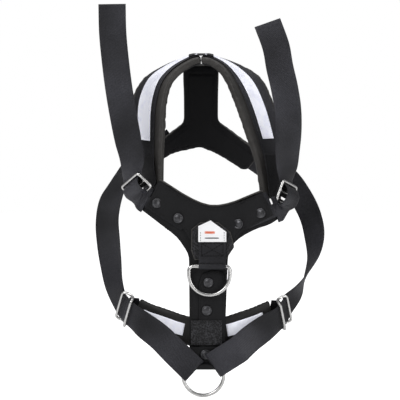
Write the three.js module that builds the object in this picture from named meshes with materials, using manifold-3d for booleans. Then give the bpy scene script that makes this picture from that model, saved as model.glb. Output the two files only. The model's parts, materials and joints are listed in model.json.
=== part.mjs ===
// A no pull dog harness for a large dog, in millimetres.
// +X is the harness's right as seen from in front of the dog, +Y points to the dog's tail and +Z is up.
// The pieces are drawn from the chest: y = 0 is the cover's front face and z = 0 is level with the lowest point
// of the lower D-ring. At the end the whole harness is moved so that the origin is under its middle.
import * as THREE from 'three';
import { mergeVertices } from 'three/addons/utils/BufferGeometryUtils.js';
import Module from 'manifold-3d';

const wasm = await Module();
wasm.setup();

// Driving dimensions.
const WEBBING_WIDTH = 38;
const WEBBING_THICKNESS = 1.6;
const LAYER_GAP = 0.3;
const RING_WIRE = 5;
const RING_INNER_WIDTH = 52;
const RING_HEIGHT = 40;
const RING_CORNER = 6;
const SLIDE_WIRE = 4;
const SLIDE_LENGTH = 25;
const RIVET_CAP = 14;
const RIVET_SHANK = 5;

// The chest and the back piece are flat in the middle and wrap round the dog to each side.
const CHEST_BEND = { flatHalf: 30, radius: 250 };
const BACK_BEND = { flatHalf: 20, radius: -220 };
const BEND_FACET = 20;

// Depth of each layer of the chest, front and back, measured from the cover's front face.
const LINING = { front: 9, back: 10.5 };
const FOAM = { front: 2.3, back: 8.7 };
const COVER = { front: 0, back: 2 };
const STRAP_LAYER = { front: -1.9, back: -0.3 };
const OVERLAY = { front: -4, back: -2.2 };
const LOWER_TAB = { front: -5.6, back: -2.4 };
const BACKING = { front: -5.9, back: -4.3 };
const TAB = { front: -9.4, back: -6.2 };
const LABEL = { front: -10.5, back: -9.7 };
const PANEL = { front: -4, back: -2.2 };
const RING_DEPTH = -8.5;
const CHEST_RING_Z = 182;
const LOWER_RING_Z = 42.5;

const harness = new THREE.Group();
const point = (x, y, z) => new THREE.Vector3(x, y, z);

const FINISHES = {
  webbing: { color: 0x2b2b30, roughness: 0.7, metalness: 0 },
  cover: { color: 0x1a1a1c, roughness: 0.75, metalness: 0 },
  lining: { color: 0x141416, roughness: 0.9, metalness: 0 },
  foam: { color: 0x26262a, roughness: 0.95, metalness: 0 },
  fuzz: { color: 0x0f0f11, roughness: 1, metalness: 0 },
  reflective: { color: 0xd9dce6, roughness: 0.4, metalness: 0.2 },
  label: { color: 0xf1f1f3, roughness: 0.8, metalness: 0 },
  rivet: { color: 0x3a3a3d, roughness: 0.45, metalness: 0.8 },
  nickel: { color: 0xc9c7c4, roughness: 0.22, metalness: 1 },
};

// Adds one sub-part to the harness.
function addPart(name, geometry, finish) {
  const mesh = new THREE.Mesh(geometry, new THREE.MeshStandardMaterial(FINISHES[finish]));
  mesh.name = name;
  harness.add(mesh);
  return mesh;
}

// Keeps only the positions of a geometry and joins its equal corners.
function weld(geometry) {
  geometry.deleteAttribute('normal');
  geometry.deleteAttribute('uv');
  return mergeVertices(geometry, 1e-4);
}

function toManifold(geometry) {
  const welded = weld(geometry.clone());
  return new wasm.Manifold(new wasm.Mesh({
    numProp: 3,
    vertProperties: new Float32Array(welded.attributes.position.array),
    triVerts: new Uint32Array(welded.index.array),
  }));
}

function fromManifold(manifold) {
  const mesh = manifold.getMesh();
  const geometry = new THREE.BufferGeometry();
  geometry.setAttribute('position', new THREE.BufferAttribute(mesh.vertProperties, 3));
  geometry.setIndex(new THREE.BufferAttribute(mesh.triVerts, 1));
  return geometry;
}

function join(...geometries) {
  return fromManifold(geometries.map(toManifold).reduce((sum, next) => sum.add(next)));
}

function cut(geometry, ...tools) {
  const cutAway = (rest, tool) => rest.subtract(tool);
  return fromManifold(tools.map(toManifold).reduce(cutAway, toManifold(geometry)));
}

// A box given by its lowest and highest corners.
function boxBetween(low, high) {
  const size = point(...high).sub(point(...low));
  const box = new THREE.BoxGeometry(size.x, size.y, size.z);
  return box.translate((low[0] + high[0]) / 2, (low[1] + high[1]) / 2, (low[2] + high[2]) / 2);
}

// --- Sheets that follow a curve -------------------------------------------------------------------

const smooth = (points) => new THREE.CatmullRomCurve3(points, false, 'centripetal');

// The two long edges of a sheet, from matching lists of points.
function edgesThrough(firstEdge, secondEdge) {
  return {
    first: smooth(firstEdge.map((corner) => point(...corner))),
    second: smooth(secondEdge.map((corner) => point(...corner))),
  };
}

// The two long edges of a strap of one width, from the points on its centre line and the direction
// across the strap at each of them. A station may give its own width, where the webbing is gathered.
function edgesOfStrap(stations, width = WEBBING_WIDTH) {
  const centre = smooth(stations.map((station) => station.at));
  const first = [];
  const second = [];
  stations.forEach((station, index) => {
    const tangent = centre.getTangent(index / (stations.length - 1));
    const across = station.across.clone().addScaledVector(tangent, -station.across.dot(tangent));
    across.setLength((station.width ?? width) / 2);
    first.push(station.at.clone().sub(across));
    second.push(station.at.clone().add(across));
  });
  return { first: smooth(first), second: smooth(second) };
}

// A point on a sheet: t runs along it, across from 0 at the first edge to 1 at the second, and out is the
// distance along the sheet's normal.
function placeOn(edges, t, across, out) {
  const nudge = 1e-3;
  const before = Math.max(0, t - nudge);
  const after = Math.min(1, t + nudge);
  const first = edges.first.getPoint(t);
  const width = edges.second.getPoint(t).sub(first);
  const tangent = edges.first.getPoint(after).add(edges.second.getPoint(after));
  tangent.sub(edges.first.getPoint(before)).sub(edges.second.getPoint(before));
  const normal = tangent.cross(width).normalize();
  return first.addScaledVector(width, across).addScaledVector(normal, out);
}

// A closed solid through a row of four-cornered rings. Both faces of it are split along the same
// diagonals, so that sheets laid on each other stay parallel where they twist.
function solidThrough(rings) {
  const corners = 4;
  const last = (rings.length - 1) * corners;
  const index = [];
  for (let ring = 0; ring < last; ring += corners) {
    for (let side = 0; side < corners; side += 1) {
      const [a, b] = [ring + side, ring + ((side + 1) % corners)];
      const [c, d] = [a + corners, b + corners];
      if (side === 2) index.push(a, c, b, b, c, d);
      else index.push(a, d, b, a, c, d);
    }
  }
  index.push(0, 2, 3, 0, 1, 2, last, last + 2, last + 1, last, last + 3, last + 2);
  const geometry = new THREE.BufferGeometry().setFromPoints(rings.flat());
  return geometry.setIndex(index);
}

// A closed sheet between two edges, over part of its width, thickness and length. from and to are stations
// counted along the sheet.
function sheet(edges, { across = [0, 1], out, steps, from = 0, to = steps }) {
  const rings = [];
  for (let station = from; station <= to; station += 1) {
    const t = station / steps;
    rings.push([
      placeOn(edges, t, across[0], out[1]),
      placeOn(edges, t, across[1], out[1]),
      placeOn(edges, t, across[1], out[0]),
      placeOn(edges, t, across[0], out[0]),
    ]);
  }
  return solidThrough(rings);
}

// --- Flat layers that wrap round the chest --------------------------------------------------------

// Wraps a point of a flat panel round the dog: flat in the middle, a cylinder out to each side.
function wrap(place, { flatHalf, radius }) {
  const beyond = Math.abs(place.x) - flatHalf;
  if (beyond <= 0) return place;
  const angle = beyond / radius;
  const reach = radius - place.y;
  place.x = Math.sign(place.x) * (flatHalf + reach * Math.sin(angle));
  place.y = radius - reach * Math.cos(angle);
  return place;
}

// Splits one triangle where it crosses the plane x = position.
function splitTriangle(corners, position) {
  const sides = corners.map((corner) => {
    const distance = corner.x - position;
    return Math.abs(distance) < 1e-5 ? 0 : Math.sign(distance);
  });
  if (!sides.includes(1) || !sides.includes(-1)) return [corners];
  const crossing = (a, b) => a.clone().lerp(b, (position - a.x) / (b.x - a.x));
  const turned = (start) => [0, 1, 2].map((step) => corners[(start + step) % 3]);
  if (sides.includes(0)) {
    const [a, b, c] = turned(sides.indexOf(0));
    const middle = crossing(b, c);
    return [[a, b, middle], [a, middle, c]];
  }
  const alone = sides.findIndex((side) => sides.filter((other) => other === side).length === 1);
  const [a, b, c] = turned(alone);
  const nearB = crossing(a, b);
  const nearC = crossing(a, c);
  return [[a, nearB, nearC], [nearB, b, c], [nearB, c, nearC]];
}

// Wraps a flat closed geometry round the dog, in flat facets.
function wrapped(geometry, bend = CHEST_BEND) {
  const flat = weld(geometry);
  const positions = flat.attributes.position;
  const corner = (index) => point().fromBufferAttribute(positions, index);
  let triangles = [];
  for (let i = 0; i < flat.index.count; i += 3) {
    triangles.push([0, 1, 2].map((step) => corner(flat.index.getX(i + step))));
  }
  for (let distance = bend.flatHalf; distance < 120; distance += BEND_FACET) {
    for (const side of [-1, 1]) {
      triangles = triangles.flatMap((triangle) => splitTriangle(triangle, side * distance));
    }
  }
  const result = new THREE.BufferGeometry();
  result.setFromPoints(triangles.flat().map((place) => wrap(place.clone(), bend)));
  return weld(result);
}

// A flat layer with the outline of a shape in the x-z plane.
function layer(shape, { front, back }) {
  const options = { depth: back - front, bevelEnabled: false, curveSegments: 2 };
  const geometry = new THREE.ExtrudeGeometry(shape, options);
  return geometry.rotateX(Math.PI / 2).translate(0, back, 0);
}

const spline = (shape, ...corners) => shape.splineThru(corners.map(([x, z]) => new THREE.Vector2(x, z)));

function polygon(...corners) {
  return new THREE.Shape(corners.map(([x, z]) => new THREE.Vector2(x, z)));
}

// --- Chest ----------------------------------------------------------------------------------------

// The rivets, from the left arm to the right arm and then down the stem, and the layer each one sits on.
const RIVETS = [
  { name: 'rivet_left_arm_outer', x: -69, z: 270 },
  { name: 'rivet_left_arm_inner', x: -36, z: 249 },
  { name: 'rivet_right_arm_inner', x: 51, z: 241 },
  { name: 'rivet_right_arm_outer', x: 82, z: 256 },
  { name: 'rivet_stem_upper', x: 6, z: 159, on: STRAP_LAYER },
  { name: 'rivet_stem_middle', x: 4, z: 120, on: STRAP_LAYER },
  { name: 'rivet_lower_tab', x: 2, z: 59, on: LOWER_TAB },
];

// The holes for all rivet shanks, as cutting tools.
const rivetHoles = RIVETS.map(({ x, z }) => {
  const hole = new THREE.CylinderGeometry(RIVET_SHANK / 2 + 0.7, RIVET_SHANK / 2 + 0.7, 60, 8);
  return hole.translate(x, 0, z);
});

function plateOutline() {
  const shape = new THREE.Shape();
  shape.moveTo(-62, 302);
  spline(shape, [-53, 297], [-21, 277], [8, 266], [36, 269], [64, 280], [82, 287]);
  shape.lineTo(97, 264);
  shape.quadraticCurveTo(104, 256, 108, 249);
  spline(shape, [93, 240], [72, 233], [50, 221], [38, 208], [34, 195], [33, 183]);
  shape.lineTo(28, 42);
  shape.lineTo(-20, 42);
  shape.lineTo(-21, 183);
  spline(shape, [-22, 197], [-29, 210], [-40, 224], [-62, 241], [-94, 265]);
  return shape;
}

function yokeOutline() {
  const shape = new THREE.Shape();
  shape.moveTo(-63, 299.5);
  spline(shape, [-53, 294.5], [-21, 274.5], [8, 263.5], [36, 266.5], [64, 277.5], [81, 284]);
  shape.lineTo(88, 272);
  shape.lineTo(97, 253);
  shape.lineTo(51, 229);
  shape.lineTo(38, 210);
  shape.lineTo(31, 192);
  shape.lineTo(-13, 192);
  shape.lineTo(-15, 212);
  shape.lineTo(-28, 233);
  shape.lineTo(-81.5, 263.5);
  return shape;
}

// The straight part of an arm strap, under the yoke, from its inner end to the end of the arm.
function armStrapOutline(innerEnd, outerEnd) {
  const along = new THREE.Vector2(...outerEnd).sub(new THREE.Vector2(...innerEnd)).normalize();
  const side = new THREE.Vector2(-along.y, along.x).multiplyScalar(WEBBING_WIDTH / 2);
  const corner = (end, sign) => new THREE.Vector2(...end).addScaledVector(side, sign);
  return new THREE.Shape([corner(innerEnd, -1), corner(outerEnd, -1), corner(outerEnd, 1), corner(innerEnd, 1)]);
}

function addChestPlate() {
  addPart('chest_plate_lining', wrapped(cut(layer(plateOutline(), LINING), ...rivetHoles)), 'lining');
  addPart('chest_plate_foam', wrapped(cut(layer(plateOutline(), FOAM), ...rivetHoles)), 'foam');
  addPart('chest_plate_cover', wrapped(cut(layer(plateOutline(), COVER), ...rivetHoles)), 'cover');
  addPart('chest_yoke_overlay', wrapped(cut(layer(yokeOutline(), OVERLAY), ...rivetHoles)), 'cover');
}

function addStem() {
  const strap = new THREE.Shape();
  strap.moveTo(-7, 42);
  strap.lineTo(29, 42);
  strap.lineTo(29, 165);
  strap.quadraticCurveTo(29, 176, 18, 176);
  strap.lineTo(11, 176);
  strap.quadraticCurveTo(-7, 175, -7, 158);
  addPart('chest_stem_strap', cut(layer(strap, STRAP_LAYER), ...rivetHoles), 'cover');
  addPart('patch_panel', boxBetween([-18, PANEL.front, 72], [25, PANEL.back, 106]), 'fuzz');
}

// Each rivet is one piece: a domed cap, a shank through every layer and a flat cap on the lining.
function addRivets() {
  const cap = RIVET_CAP / 2;
  const shank = RIVET_SHANK / 2;
  for (const { name, x, z, on = OVERLAY } of RIVETS) {
    const head = on.front - LAYER_GAP;
    const profile = [
      [0, head - 2.1], [cap - 2.5, head - 1.9], [cap - 0.6, head - 1], [cap, head], [shank, head],
      [shank, LINING.back + LAYER_GAP], [cap - 1, LINING.back + LAYER_GAP], [cap - 1.5, LINING.back + 1.3],
      [0, LINING.back + 1.5],
    ];
    const rivet = new THREE.LatheGeometry(profile.map(([r, depth]) => new THREE.Vector2(r, depth)), 12);
    const mesh = addPart(name, weld(rivet), 'rivet');
    mesh.position.copy(wrap(point(x, 0, z), CHEST_BEND));
    const beyond = Math.max(0, Math.abs(x) - CHEST_BEND.flatHalf);
    mesh.rotation.z = (Math.sign(x) * beyond) / CHEST_BEND.radius;
  }
}

// A D-shaped path in the x-z plane, with its straight bar centred on the origin.
function ringPath() {
  const half = (RING_INNER_WIDTH + RING_WIRE) / 2;
  const shape = new THREE.Shape();
  shape.moveTo(0, 0);
  shape.lineTo(half - RING_CORNER, 0);
  shape.absarc(half - RING_CORNER, -RING_CORNER, RING_CORNER, Math.PI / 2, 0, true);
  shape.absarc(0, half - RING_HEIGHT, half, 0, Math.PI, true);
  shape.absarc(RING_CORNER - half, -RING_CORNER, RING_CORNER, Math.PI, Math.PI / 2, true);
  shape.lineTo(0, 0);
  return shape.getSpacedPoints(40).slice(0, -1).map(({ x, y }) => point(x, 0, y));
}

// A closed wire along a ring of points, made by laying a torus along them.
function wireAlong(path, wire, normalAt) {
  const geometry = new THREE.TorusGeometry(1, 0.5, 8, path.length);
  const positions = geometry.attributes.position;
  for (let i = 0; i < positions.count; i += 1) {
    const [x, y, z] = [positions.getX(i), positions.getY(i), positions.getZ(i)];
    const turn = (Math.atan2(y, x) / (2 * Math.PI) + 1) % 1;
    const index = Math.round(turn * path.length) % path.length;
    const tangent = path[(index + 1) % path.length].clone()
      .sub(path[(index + path.length - 1) % path.length]).normalize();
    const normal = normalAt(path[index]);
    const outward = tangent.clone().cross(normal).normalize();
    const place = path[index].clone().addScaledVector(outward, (Math.hypot(x, y) - 1) * wire);
    place.addScaledVector(outward.clone().cross(tangent), z * wire);
    positions.setXYZ(i, place.x, place.y, place.z);
  }
  return weld(geometry);
}

function addRing(name, x, z) {
  const ring = addPart(name, wireAlong(ringPath(), RING_WIRE, () => point(0, 1, 0)), 'nickel');
  ring.position.set(x, RING_DEPTH, z);
}

// A tab of doubled webbing with a round loop for a ring's bar at its lower end.
function loopedTab({ x, width, barHeight, top, front, back }) {
  const radius = RING_WIRE / 2 + LAYER_GAP + WEBBING_THICKNESS;
  const loop = new THREE.Shape();
  loop.absarc(RING_DEPTH, barHeight, radius, 0, 2 * Math.PI, false);
  const bar = new THREE.Path();
  bar.absarc(RING_DEPTH, barHeight, RING_WIRE / 2 + LAYER_GAP, 0, 2 * Math.PI, true);
  loop.holes.push(bar);
  const loopPart = new THREE.ExtrudeGeometry(loop, { depth: width, bevelEnabled: false, curveSegments: 16 });
  // The outline is drawn with depth first and height second, so it is turned to stand across the chest.
  const turned = new THREE.Matrix4().makeBasis(point(0, 1, 0), point(0, 0, 1), point(1, 0, 0));
  loopPart.applyMatrix4(turned).translate(x - width / 2, 0, 0);
  const flat = boxBetween([x - width / 2, front, barHeight + RING_WIRE / 2 + 0.5], [x + width / 2, back, top]);
  return join(loopPart, flat);
}

function addChestFittings() {
  const backing = polygon(
    [-17, 234], [-18, 205], [-13, 191], [30, 191], [42, 209], [37, 229], [20, 243], [-5, 243],
  );
  addPart('ring_tab_backing', layer(backing, BACKING), 'fuzz');
  const tab = loopedTab({ x: 11.5, width: WEBBING_WIDTH, barHeight: CHEST_RING_Z, top: 236, ...TAB });
  addPart('ring_tab', tab, 'webbing');
  const label = polygon([-8, 216], [31, 216], [31, 230], [9, 246], [-8, 238]);
  addPart('label', layer(label, LABEL), 'label');
  addRing('chest_d_ring', 7.5, CHEST_RING_Z);
  const loop = loopedTab({ x: -1, width: 36, barHeight: LOWER_RING_Z, top: 62, ...LOWER_TAB });
  const plate = boxBetween([-21, LOWER_TAB.front, 50], [28, LOWER_TAB.back, 69]);
  addPart('lower_ring_tab', cut(join(loop, plate), ...rivetHoles), 'cover');
  addRing('lower_d_ring', -1, LOWER_RING_Z);
}

// --- Tri-glides -----------------------------------------------------------------------------------

// A tri-glide's own frame: u along its bars, v from its upper bar to its lower bar, w out of its front.
const GLIDES = {
  shoulder_adjuster_left: {
    centre: [-96, 6.5, 292.5], bar: [0.56, -0.71, 0.43], down: [0.506, -0.117, -0.854],
  },
  shoulder_adjuster_right: {
    centre: [118, 7.5, 284.5], bar: [0.5, 0.835, -0.22], down: [-0.02, -0.245, -0.97],
  },
  side_slider_left: { centre: [-113, 45, 117], bar: [0.274, -0.375, 0.886], down: [0.515, -0.72, -0.464] },
  side_slider_right: { centre: [115, 46, 112], bar: [-0.2, -0.41, 0.88], down: [-0.42, -0.78, -0.46] },
};

function glideFrame(name) {
  const { centre, bar, down } = GLIDES[name];
  const u = point(...bar).normalize();
  const v = point(...down);
  v.addScaledVector(u, -v.dot(u)).normalize();
  const w = v.clone().cross(u);
  if (w.y > 0) w.negate();
  return { centre: point(...centre), u, v, w };
}

function inGlide({ centre, u, v, w }, along, down, out) {
  return centre.clone().addScaledVector(u, along).addScaledVector(v, down).addScaledVector(w, out);
}

// The rounded rectangle of a tri-glide's outer wire. outAt gives how far each row of the frame stands out.
function addGlide(name, outAt) {
  const frame = glideFrame(name);
  const halfBar = WEBBING_WIDTH / 2 + 0.9 + SLIDE_WIRE / 2;
  const half = SLIDE_LENGTH / 2;
  const corner = 4;
  const shape = new THREE.Shape();
  shape.absarc(halfBar - corner, half - corner, corner, 0, Math.PI / 2);
  shape.absarc(corner - halfBar, half - corner, corner, Math.PI / 2, Math.PI);
  shape.absarc(corner - halfBar, corner - half, corner, Math.PI, 1.5 * Math.PI);
  shape.absarc(halfBar - corner, corner - half, corner, 1.5 * Math.PI, 2 * Math.PI);
  shape.closePath();
  const path = shape.getSpacedPoints(32).slice(0, -1).map(({ x, y }) => inGlide(frame, x, y, outAt(y)));
  const wire = wireAlong(path, SLIDE_WIRE, () => frame.w);
  const bar = new THREE.CylinderGeometry(SLIDE_WIRE / 2 - 0.1, SLIDE_WIRE / 2 - 0.1, 2 * halfBar, 8);
  bar.applyMatrix4(new THREE.Matrix4().makeBasis(frame.w, frame.u, frame.w.clone().cross(frame.u)));
  const middle = inGlide(frame, 0, 0, outAt(0));
  addPart(name, join(wire, bar.translate(middle.x, middle.y, middle.z)), 'nickel');
}

// A side slider is bowed: its outer bars stand in front of the strap and its middle bar behind it.
const bowed = (down) => 9.9 * (down / (SLIDE_LENGTH / 2)) ** 2 - 5.6;

// A shoulder adjuster is flat and tilted: its upper bar is in front of the strap, the others behind it.
const tilted = (down) => -0.4 * down - 1.6;

// Points on a half turn round a bar: from the near side, over the far side and back.
function turnRound(centre, ahead, side, radius, degrees = [-90, -45, 0, 45, 90]) {
  return degrees.map((angle) => {
    const turn = THREE.MathUtils.degToRad(angle);
    return centre.clone().addScaledVector(ahead, radius * Math.cos(turn))
      .addScaledVector(side, radius * Math.sin(turn));
  });
}

const HALF_WEBBING = WEBBING_THICKNESS / 2;
const THIN = [-HALF_WEBBING, HALF_WEBBING];
const stationsAt = (points, across) => points.map((at) => ({ at, across }));

// --- Girth band and side sliders ------------------------------------------------------------------

const GIRTH_PATH = [
  [-97, 39, 115], [-80, 30, 108], [-57, 22.5, 101], [-28, 15.5, 92], [0, 14, 88.5],
  [32, 15.5, 91], [54, 20, 97], [76, 26.5, 104], [98, 40, 112],
];

function girthEdges(width) {
  const stations = GIRTH_PATH.map((place) => ({ at: point(...place), across: point(0, 0, 1) }));
  return edgesOfStrap(stations, width);
}

function addGirth() {
  const edges = girthEdges(40);
  const steps = 24;
  addPart('girth_pad', sheet(edges, { out: [-2.6, 2.6], steps }), 'foam');
  const strip = { across: [0.27, 0.7], out: [2.9, 3.6], steps };
  addPart('girth_reflective_left', sheet(edges, { ...strip, from: 2, to: 9 }), 'reflective');
  addPart('girth_reflective_right', sheet(edges, { ...strip, from: 15, to: 22 }), 'reflective');
  addPart('girth_webbing', sheet(edges, { across: [0.05, 0.95], out: [-4.5, -2.9], steps }), 'webbing');
  for (const side of ['left', 'right']) addGirthLoop(side);
}

// The loop that holds a side slider on the end of the girth band.
function addGirthLoop(side) {
  const frame = glideFrame(`side_slider_${side}`);
  const bar = inGlide(frame, 0, 0, bowed(0));
  const end = point(...(side === 'left' ? GIRTH_PATH[0] : GIRTH_PATH.at(-1)));
  const ahead = bar.clone().sub(end).setLength(1);
  ahead.addScaledVector(frame.u, -ahead.dot(frame.u)).normalize();
  const behind = ahead.clone().cross(frame.u).normalize();
  if (behind.y < 0) behind.negate();
  const radius = SLIDE_WIRE / 2 + LAYER_GAP + HALF_WEBBING;
  const round = turnRound(bar, ahead, behind, radius, [90, 45, 0, -45, -90]);
  const start = end.clone().addScaledVector(behind, 6.6);
  addPart(`girth_loop_${side}`, sheet(
    edgesOfStrap(stationsAt([start, ...round], frame.u), 36),
    { out: THIN, steps: 14 },
  ), 'webbing');
}

// --- Back piece's place ---------------------------------------------------------------------------

const BACK_APEX = point(-4, 103, 478);
const BACK_TILT = THREE.MathUtils.degToRad(27);

// A point on the wrapped back piece: x across it, down from its top and depth behind its middle layer.
function onBackPiece(x, down, depth) {
  const place = wrap(point(x, depth, -down), BACK_BEND);
  return place.applyAxisAngle(point(1, 0, 0), BACK_TILT).add(BACK_APEX);
}

// --- Pull straps: from the back piece through a side slider to the lower D-ring --------------------

const PULL_STRAPS = {
  left: {
    onBack: [[-42, 124], [-82, 151], [-104, 164]],
    toSlider: [
      { at: point(-130, 134, 300), across: point(0.88, -0.4, 0.25) },
      { at: point(-141, 121, 274), across: point(0.93, -0.36, 0.05) },
      { at: point(-145, 109, 244), across: point(0.93, -0.36, 0) },
      { at: point(-142, 96, 212), across: point(0.93, -0.36, 0.05) },
      { at: point(-137, 82, 180), across: point(0.85, -0.45, 0.3) },
      { at: point(-131, 67, 150), across: point(0.6, -0.5, 0.65) },
    ],
    toRing: [
      { at: point(-84, 13, 97), across: point(0.46, -0.2, 0.87) },
      { at: point(-63, 0, 83), across: point(0.55, -0.1, 0.83) },
      { at: point(-42, -9, 64), across: point(0.6, 0, 0.8) },
    ],
    fold: point(-17, -8.6, 40.5),
    ahead: point(0.8, 0, -0.6),
    foldAcross: point(0.6, 0, 0.8),
  },
  right: {
    onBack: [[36, 128], [80, 156], [104, 170]],
    toSlider: [
      { at: point(128, 143, 306), across: point(0.7, -0.4, 0.55) },
      { at: point(148, 130, 279), across: point(0.78, -0.55, 0.3) },
      { at: point(161, 118, 250), across: point(0.77, -0.63, 0.1) },
      { at: point(166, 106, 222), across: point(0.7, -0.7, 0.1) },
      { at: point(164, 93, 193), across: point(0.45, -0.8, 0.35) },
      { at: point(152, 79, 165), across: point(0.2, -0.83, 0.5) },
      { at: point(139, 67, 141), across: point(-0.05, -0.65, 0.75) },
    ],
    toRing: [
      { at: point(86, 14, 93), across: point(-0.46, -0.2, 0.87) },
      { at: point(65, 0, 80), across: point(-0.58, -0.1, 0.81) },
      { at: point(44, -9, 63), across: point(-0.62, 0, 0.79) },
    ],
    fold: point(16.6, -8.6, 47),
    ahead: point(-0.8, 0, -0.6),
    foldAcross: point(-0.6, 0, 0.8),
  },
};

function pullStrapStations(side) {
  const { onBack, toSlider, toRing, fold, ahead, foldAcross } = PULL_STRAPS[side];
  const fall = side === 'left' ? 0.83 : -0.83;
  const sewn = onBack.map(([x, down]) => ({
    at: onBackPiece(x, down, 6.8),
    across: onBackPiece(x + 0.56, down + fall, 6.8).sub(onBackPiece(x, down, 6.8)),
  }));
  const frame = glideFrame(`side_slider_${side}`);
  const through = [[-20, -2], [-7, 0], [7, 0], [20, -2]].map(([down, out]) => inGlide(frame, 0, down, out));
  const round = turnRound(fold, ahead, point(0, 1, 0), 5.4);
  const back = fold.clone().addScaledVector(ahead, -26).add(point(0, 5.4, 0));
  return [
    ...sewn,
    ...toSlider,
    ...stationsAt(through, frame.u),
    ...toRing,
    ...stationsAt([...round, back], foldAcross),
  ];
}

function addPullStrap(side) {
  const strap = sheet(edgesOfStrap(pullStrapStations(side)), { out: THIN, steps: 72 });
  // The folded-back end is trimmed clear of the lower tab and its loop.
  const clearance = boxBetween([-23.5, -13, 36.8], [30, 0, 100]);
  addPart(`pull_strap_${side}`, cut(strap, clearance), 'webbing');
}

// --- Shoulder pads --------------------------------------------------------------------------------

// Each pad's edges from its lower end to the apex over the neck, ordered so that its normal points out.
const PAD_EDGES = {
  left: edgesThrough(
    [[-61, 20, 288], [-60, 19, 328], [-58, 24, 370], [-56, 30, 408], [-50, 36, 438], [-38, 41, 457],
      [-23, 44, 469], [-11, 46, 475.8], [-4.6, 46, 476]],
    [[-84, 58, 292], [-96, 66, 333], [-105, 75, 380], [-104, 84, 424], [-88, 92, 453], [-65, 97, 467],
      [-41, 100, 477.5], [-14, 104, 485.8], [-4.6, 104, 486]],
  ),
  right: edgesThrough(
    [[112, 58, 292], [117, 66, 333], [112, 74, 378], [101, 84, 421], [84, 92, 454], [62, 96, 469],
      [38, 100, 477.5], [6, 104, 485.8], [-3.4, 104, 486]],
    [[84, 17, 285], [73, 18, 334], [61, 24, 370], [51, 29, 400], [41, 34, 427], [33, 39, 447],
      [21, 43, 465], [4, 46, 475.8], [-3.4, 46, 476]],
  ),
};
const PAD_STEPS = 24;

function addShoulder(side) {
  const edges = PAD_EDGES[side];
  const fromFront = (near, far) => (side === 'left' ? [near, far] : [1 - far, 1 - near]);
  const steps = PAD_STEPS;
  addPart(`shoulder_lining_${side}`, sheet(edges, { out: [-6.2, -4.8], steps }), 'lining');
  addPart(`shoulder_pad_${side}`, sheet(edges, { out: [-4.5, 4.5], steps }), 'foam');
  const webbing = { across: fromFront(0.1, 0.9), out: [5.3, 6.7], steps, from: 1, to: 23 };
  addPart(`shoulder_webbing_${side}`, sheet(edges, webbing), 'webbing');
  const tape = { across: fromFront(0.29, 0.71), out: [7.5, 8.1], steps, from: 5, to: 22 };
  addPart(`shoulder_reflective_${side}`, sheet(edges, tape), 'reflective');
}

// The strap that is sewn on the lower end of a shoulder pad and holds the adjuster's lower bar, on the half
// of the bar that is farther from the chest.
const ANCHOR_ASIDE = 10;
const ANCHOR_WIDTH = 20;
function anchorStations(side) {
  const edges = PAD_EDGES[side];
  const frame = glideFrame(`shoulder_adjuster_${side}`);
  const half = SLIDE_LENGTH / 2;
  const bar = inGlide(frame, ANCHOR_ASIDE * Math.sign(frame.u.y), half, tilted(half));
  const onPad = [0.14, 0.09, 0.03].map((t) => ({
    at: placeOn(edges, t, 0.5, 9.2),
    across: edges.first.getPoint(t).sub(edges.second.getPoint(t)),
  }));
  const below = frame.v.clone();
  const behind = frame.w.clone().negate();
  const radius = SLIDE_WIRE / 2 + 2 * LAYER_GAP + HALF_WEBBING;
  const round = turnRound(bar, below, behind, radius, [100, 50, 0, -50, -100]);
  const approach = bar.clone().addScaledVector(behind, 12).addScaledVector(below, 2);
  return [...onPad, ...stationsAt([approach, ...round], frame.u)];
}

function addAnchorStrap(side) {
  const edges = edgesOfStrap(anchorStations(side), ANCHOR_WIDTH);
  addPart(`shoulder_anchor_${side}`, sheet(edges, { out: THIN, steps: 22 }), 'webbing');
}

// --- Arm straps and their loose tails -------------------------------------------------------------

const ARM_STRAPS = {
  left: {
    innerEnd: [-22, 248],
    outerEnd: [-73, 280.4],
    gathered: 14,
    rise: [[12.5, 2.6, 20], [4, 7.5, 30], [-4, 6.5, 34], [-10.5, 0, 34]],
    tail: [
      [-101, 1, 331], [-106, -2, 357], [-113, -6, 395], [-119, -9, 433], [-124, -10, 474], [-127, -10, 508],
      [-128, -9, 547],
    ],
    tailAcross: [
      [0.9, -0.4, 0.1], [0.98, -0.15, 0.1], [1, 0, 0], [1, 0, 0], [1, 0, 0], [1, 0.05, 0], [1, 0.05, 0],
    ],
  },
  right: {
    innerEnd: [40, 246],
    outerEnd: [95, 268.2],
    gathered: 18,
    rise: [[21, -7, 18], [16, 2, 22], [6, 7.5, 30], [-4, 6.5, 34], [-10.5, 0, 34]],
    tail: [
      [117, 4, 318], [117, 1, 340], [118, -3, 368], [117, -6, 400], [112, -9, 430], [105, -11, 460],
      [100, -12, 487], [88, -10, 521],
    ],
    tailAcross: [
      [0.75, 0.6, 0], [0.9, 0.4, 0], [0.97, 0.2, 0], [1, 0.1, 0.1], [1, 0, 0.2], [1, 0, 0.2],
      [1, 0, 0.25], [1, 0, 0.35],
    ],
  },
};

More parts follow.
